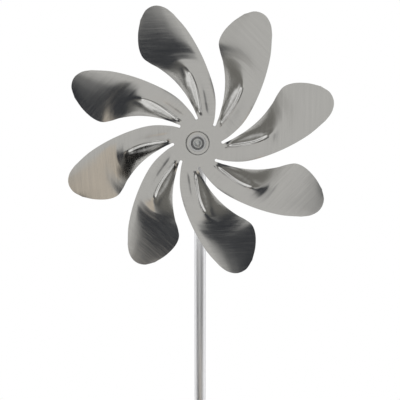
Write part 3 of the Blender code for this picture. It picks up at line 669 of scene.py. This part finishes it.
def make_bearing_faces(side, surfaces):
    """Both races and both shields of one bearing."""
    front, back = extent(side + "_bearing_outer_race")
    middle = (front + back) / 2
    groove, lip = BALL_R * 0.75, 0.5
    inner_wall, dip = BALL_CIRCLE_R - BALL_R + 0.2, BALL_CIRCLE_R - BALL_R - 0.15
    outer_wall, rise = BALL_CIRCLE_R + BALL_R - 0.2, BALL_CIRCLE_R + BALL_R + 0.15
    bore = BOLT_R + 0.15
    inner = [
        (bore, front), (inner_wall, front), (inner_wall, middle - groove), (dip, middle - 0.4),
        (dip, middle + 0.4), (inner_wall, middle + groove), (inner_wall, back), (bore, back),
    ]
    outer = [
        (BEARING_R, front), (BEARING_R, back), (rise, back), (rise, back - lip),
        (outer_wall, back - lip), (outer_wall, middle + groove), (rise, middle + 0.4),
        (rise, middle - 0.4), (outer_wall, middle - groove), (outer_wall, front + lip),
        (rise, front + lip), (rise, front),
    ]
    fine_piece(side + "_bearing_inner_race", turned_mesh(break_edges(inner, 0.1)), surfaces, HUB.z)
    fine_piece(side + "_bearing_outer_race", turned_mesh(break_edges(outer, 0.1)), surfaces, HUB.z)
    for end in ("front", "rear"):
        name = f"{side}_bearing_{end}_shield"
        section = ring(BALL_CIRCLE_R - BALL_R + 0.5, BALL_CIRCLE_R + BALL_R, *extent(name))
        fine_piece(name, turned_mesh(break_edges(section, 0.06)), surfaces, HUB.z)


def make_hub_bush(surfaces):
    """The turned bush, with the same steps as its CAD solid."""
    start, end = extent("hub_bush")
    face = start + LIP_PROUD
    bore, lip = BEARING_R + GAP, HUB_HOLE_R + 0.8
    seat_front = extent("front_bearing_outer_race")[1] + GAP
    rear_start, rear_end = extent("rear_bearing_outer_race")
    seat_rear, groove = rear_start - GAP, rear_end + GAP
    back = face + SHEET
    profile = [
        (bore, start), (lip, start), (lip, face - GAP),
        (HUB_HOLE_R - GAP, face - GAP), (HUB_HOLE_R - GAP, back + GAP),
        (FLANGE_R, back + GAP), (FLANGE_R, back + 1.8),
        (BUSH_R, back + 2.2), (BUSH_R, end - 0.4), (BUSH_R - 0.4, end), (bore, end), (bore, end - 0.6),
        (bore + 0.5, end - 0.6), (bore + 0.5, groove), (bore, groove), (bore, seat_rear),
        (LAND_R, seat_rear), (LAND_R, seat_front), (bore, seat_front),
    ]
    fine_piece("hub_bush", turned_mesh(break_edges(profile)), surfaces, HUB.z)


def make_axle_screw(surfaces):
    """Pan-head screw with a cross recess."""
    top, end = extent("axle_bolt")
    under = top + HEAD_HEIGHT
    profile = [(0.0, top)]
    for i in range(1, ARC_STEPS + 1):
        angle = math.radians(90.0 * i / ARC_STEPS)
        drop = (HEAD_HEIGHT - HEAD_SHOULDER) * (1.0 - math.cos(angle))
        profile.append((HEAD_R * math.sin(angle), top + drop))
    profile += [(HEAD_R, under - HEAD_EDGE), (HEAD_R - HEAD_EDGE, under), (BOLT_R, under)]
    profile += [(BOLT_R, end - 0.6), (BOLT_R - 0.4, end), (0.0, end)]
    made = fine_piece("axle_bolt", turned_mesh(profile), surfaces, HUB.z)
    cut_away(made, "cross_recess", cross_bars(top))


def cross_bars(top):
    """A plus-shaped prism whose front end stands clear of the screw head."""
    outline = []
    for quarter in range(4):
        turn = Matrix.Rotation(math.radians(90.0 * quarter), 3, "Y")
        for x, z in ((CROSS_REACH, -CROSS_HALF), (CROSS_REACH, CROSS_HALF), (CROSS_HALF, CROSS_HALF)):
            outline.append(turn @ Vector((x, top + CROSS_DEEP, -z)) * MM + HUB)
    bm = bmesh.new()
    face = bm.faces.new([bm.verts.new(p) for p in outline])
    pulled = bmesh.ops.extrude_face_region(bm, geom=[face])["geom"]
    verts = [v for v in pulled if isinstance(v, bmesh.types.BMVert)]
    bmesh.ops.translate(bm, verts=verts, vec=(0.0, -2.0 * CROSS_DEEP * MM, 0.0))
    return bm


def cut_away(target, name, bm):
    """Cut a closed mesh out of a piece, and keep the result as the piece's own mesh."""
    bmesh.ops.recalc_face_normals(bm, faces=bm.faces)
    mesh = bpy.data.meshes.new(name)
    bm.to_mesh(mesh)
    bm.free()
    tool = bpy.data.objects.new(name, mesh)
    bpy.context.scene.collection.objects.link(tool)
    modifier = target.modifiers.new(name, "BOOLEAN")
    modifier.solver = "EXACT"
    modifier.object = tool
    bpy.context.view_layer.update()
    cut = bpy.data.meshes.new_from_object(target.evaluated_get(bpy.context.evaluated_depsgraph_get()))
    target.modifiers.clear()
    target.data = cut
    bpy.data.objects.remove(tool, do_unlink=True)


def make_saddles(surfaces):
    """The two saddle washers, hollowed to the pole."""
    for name in ("front_saddle", "rear_saddle"):
        section = break_edges(ring(BOLT_R + GAP, SADDLE_R, *extent(name)), 0.3)
        made = fine_piece(name, turned_mesh(section), surfaces, HUB.z)
        hollow = [(0.0, -10.0), (POLE_R + GAP, -10.0), (POLE_R + GAP, 10.0), (0.0, 10.0)]
        tool = upright(turned_mesh(hollow))
        bmesh.ops.translate(tool, verts=tool.verts, vec=HUB)
        cut_away(made, name + "_hollow", tool)


def make_axle_rings(surfaces):
    """Washers, spacer and sleeve threaded on the screw."""
    sizes = {"front_washer": 4.6, "bearing_spacer": 3.1, "standoff_sleeve": 3.2, "rear_washer": 4.5}
    for name, outer in sizes.items():
        section = break_edges(ring(BOLT_R + GAP, outer, *extent(name)), 0.12)
        fine_piece(name, turned_mesh(section), surfaces, HUB.z)


def make_pole_pieces(surfaces):
    """Tubes, cap and ground spike."""
    inner = POLE_R - POLE_WALL
    for name in ("upper_pole", "lower_pole"):
        low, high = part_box(name)
        section = break_edges(ring(inner, POLE_R, low.z / MM, high.z / MM), 0.25)
        fine_piece(name, upright(turned_mesh(section, TUBE_SIDES)), surfaces)
    make_pole_cap(inner, surfaces)
    make_spike(inner, surfaces)


def make_pole_cap(inner, surfaces):
    """The plug and low dome at the top of the pole."""
    low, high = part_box("pole_cap")
    bottom, top = low.z / MM, high.z / MM
    bore, rim = inner - GAP, top - CAP_DOME
    profile = [(0.0, bottom), (bore - 0.5, bottom), (bore, bottom + 0.5), (bore, rim), (POLE_R, rim)]
    for i in range(ARC_STEPS):
        angle = math.radians(90.0 * i / ARC_STEPS)
        profile.append((POLE_R * math.cos(angle), top - 2.0 + 2.0 * math.sin(angle)))
    profile.append((0.0, top))
    fine_piece("pole_cap", upright(turned_mesh(profile)), surfaces)


def make_spike(inner, surfaces):
    """The ground spike: a cone, a short shoulder, and a shank inside the lower tube."""
    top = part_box("ground_spike")[1].z / MM
    shank, shoulder = inner - GAP, top - SPIKE_SHANK
    profile = [
        (0.0, 0.0), (1.5, 0.0), (POLE_R, shoulder - SPIKE_SHOULDER), (POLE_R, shoulder), (shank, shoulder),
        (shank, top - 1.0), (shank - 0.8, top), (0.0, top),
    ]
    fine_piece("ground_spike", upright(turned_mesh(break_edges(profile, 0.2))), surfaces)


# ---- Studio ----

CAMERA_FROM_HUB = Vector((0.054, -0.619, 0.051))
AIM_FROM_HUB = Vector((0.0024, 0.0, -0.0581))
FOCAL_MM = 55.3
FLOOR_HALF = 40.0
FLOOR_DROP = 0.0002


def make_camera():
    """The camera, a little right of and above the hub, looking down at the pole."""
    hub_front = HUB + Vector((0.0, HUB_FACE_Y * MM, 0.0))
    data = bpy.data.cameras.new("Camera")
    data.lens = FOCAL_MM
    made = bpy.data.objects.new("Camera", data)
    bpy.context.scene.collection.objects.link(made)
    made.location = hub_front + CAMERA_FROM_HUB
    aim = hub_front + AIM_FROM_HUB - made.location
    made.rotation_euler = aim.to_track_quat("-Z", "Y").to_euler()
    bpy.context.scene.camera = made


# Studio cards seen in the metal: direction as the right and up shares of a unit vector that points
# to the viewer's side, half angle and soft edge in degrees, and colour
CARDS = [
    ("dark_left", (-0.60, -0.40), 17.0, 10.0, (0.048, 0.051, 0.058)),
    ("dark_low_left", (-0.22, -0.70), 16.0, 8.0, (0.048, 0.051, 0.058)),
    ("dark_right", (0.52, -0.24), 16.0, 10.0, (0.048, 0.051, 0.058)),
    ("dark_high_right", (0.50, 0.24), 17.0, 10.0, (0.048, 0.051, 0.058)),
    ("tan_low", (0.13, -0.58), 12.0, 6.0, (0.70, 0.63, 0.54)),
    ("dark_floor", (0.38, -0.80), 17.0, 8.0, (0.012, 0.012, 0.012)),
]
ROOM_LIGHT = (0.66, 0.655, 0.64, 1.0)
ROOM_SIDES = (0.20, 0.195, 0.18, 1.0)
BACKDROP_LIGHT = (1.15, 1.15, 1.15, 1.0)
BEHIND_LIGHT = (0.55, 0.55, 0.56, 1.0)


def cap_cover(tree, direction, toward, half_angle, edge):
    """1 inside a round cap of directions, 0 outside it, with a soft edge."""
    dot = node(tree, "ShaderNodeVectorMath", operation="DOT_PRODUCT")
    tree.links.new(direction, dot.inputs[0])
    dot.inputs[1].default_value = toward
    angle = node(tree, "ShaderNodeMath", operation="ARCCOSINE")
    tree.links.new(dot.outputs["Value"], angle.inputs[0])
    made = node(tree, "ShaderNodeMapRange", interpolation_type="SMOOTHSTEP", inputs={
        "From Min": math.radians(half_angle + edge / 2), "From Max": math.radians(half_angle - edge / 2)})
    tree.links.new(angle.outputs["Value"], made.inputs["Value"])
    return made.outputs["Result"]


def make_world():
    """Soft studio: a light room with dark and warm cards in front, and a white backdrop behind."""
    world = bpy.data.worlds.new("Studio")
    bpy.context.scene.world = world
    world.use_nodes = True
    tree = world.node_tree
    tree.nodes.clear()
    direction = node(tree, "ShaderNodeTexCoord").outputs["Generated"]
    viewer = (0.0, -1.0, 0.0)
    colour = mix_colour(tree, cap_cover(tree, direction, viewer, 122.0, 34.0), BEHIND_LIGHT, BACKDROP_LIGHT)
    colour = mix_colour(tree, cap_cover(tree, direction, viewer, 71.0, 12.0), colour, ROOM_SIDES)
    colour = mix_colour(tree, cap_cover(tree, direction, viewer, 45.0, 14.0), colour, ROOM_LIGHT)
    for _, (right, up), half_angle, edge, tint in CARDS:
        toward = (right, -math.sqrt(1.0 - right * right - up * up), up)
        cover = cap_cover(tree, direction, toward, half_angle, edge)
        colour = mix_colour(tree, cover, colour, tint + (1.0,))
    seen = node(tree, "ShaderNodeBackground")
    tree.links.new(colour, seen.inputs["Color"])
    pale = node(tree, "ShaderNodeBackground", inputs={"Color": (1.0, 1.0, 1.0, 1.0)})
    path = node(tree, "ShaderNodeLightPath")
    mix = node(tree, "ShaderNodeMixShader")
    out = node(tree, "ShaderNodeOutputWorld")
    tree.links.new(path.outputs["Is Camera Ray"], mix.inputs[0])
    tree.links.new(seen.outputs[0], mix.inputs[1])
    tree.links.new(pale.outputs[0], mix.inputs[2])
    tree.links.new(mix.outputs[0], out.inputs["Surface"])


def make_floor():
    """A plain pale floor at the spike's tip, with a painted shadow round the spike, that fades into the
    backdrop.

    It glows, so no lamp is needed, and reflections don't show it.
    """
    mesh = bpy.data.meshes.new("floor")
    corners = [(x * FLOOR_HALF, y * FLOOR_HALF, 0.0) for x, y in ((-1, -1), (1, -1), (1, 1), (-1, 1))]
    mesh.from_pydata(corners, [], [(0, 1, 2, 3)])
    made, tree, shader = new_material("pale_floor_painted_shadow")
    place = node(tree, "ShaderNodeTexCoord")
    radius = node(tree, "ShaderNodeVectorMath", operation="LENGTH")
    tree.links.new(place.outputs["Object"], radius.inputs[0])
    # Painted shadow: the floor's glow drops to 0.72 near the spike and rises to white by 9 cm out, in place
    # of a cast contact shadow
    painted_shadow_fade = remap(tree, radius.outputs["Value"], 0.005, 0.09, 0.0, 1.0)
    tint = mix_colour(tree, painted_shadow_fade, (0.72, 0.72, 0.72, 1.0), (1.0, 1.0, 1.0, 1.0))
    glow = node(tree, "ShaderNodeEmission")
    tree.links.new(tint, glow.inputs["Color"])
    tree.links.new(glow.outputs[0], tree.nodes["Material Output"].inputs["Surface"])
    tree.nodes.remove(shader)
    mesh.materials.append(made)
    floor = bpy.data.objects.new("floor", mesh)
    floor.visible_glossy = False
    floor.visible_diffuse = False
    floor.location.z = -FLOOR_DROP
    bpy.context.scene.collection.objects.link(floor)


def main():
    """Build the studio and the pieces, and put a detailed surface on every CAD node."""
    bpy.context.scene.view_settings.view_transform = "Standard"
    make_camera()
    make_world()
    make_floor()
    surfaces = make_surfaces()
    slots = {row["node"]: row["material_slot"] for row in frame["record"]["subparts"]}
    for name, obj in frame["nodes"].items():
        obj.data.materials.clear()
        obj.data.materials.append(surfaces[slots[name]])
    make_wheel(surfaces["brushed_stainless"])
    make_hub_bush(surfaces)
    make_bearing_faces("front", surfaces)
    make_bearing_faces("rear", surfaces)
    make_axle_screw(surfaces)
    make_axle_rings(surfaces)
    make_saddles(surfaces)
    make_pole_pieces(surfaces)


main()
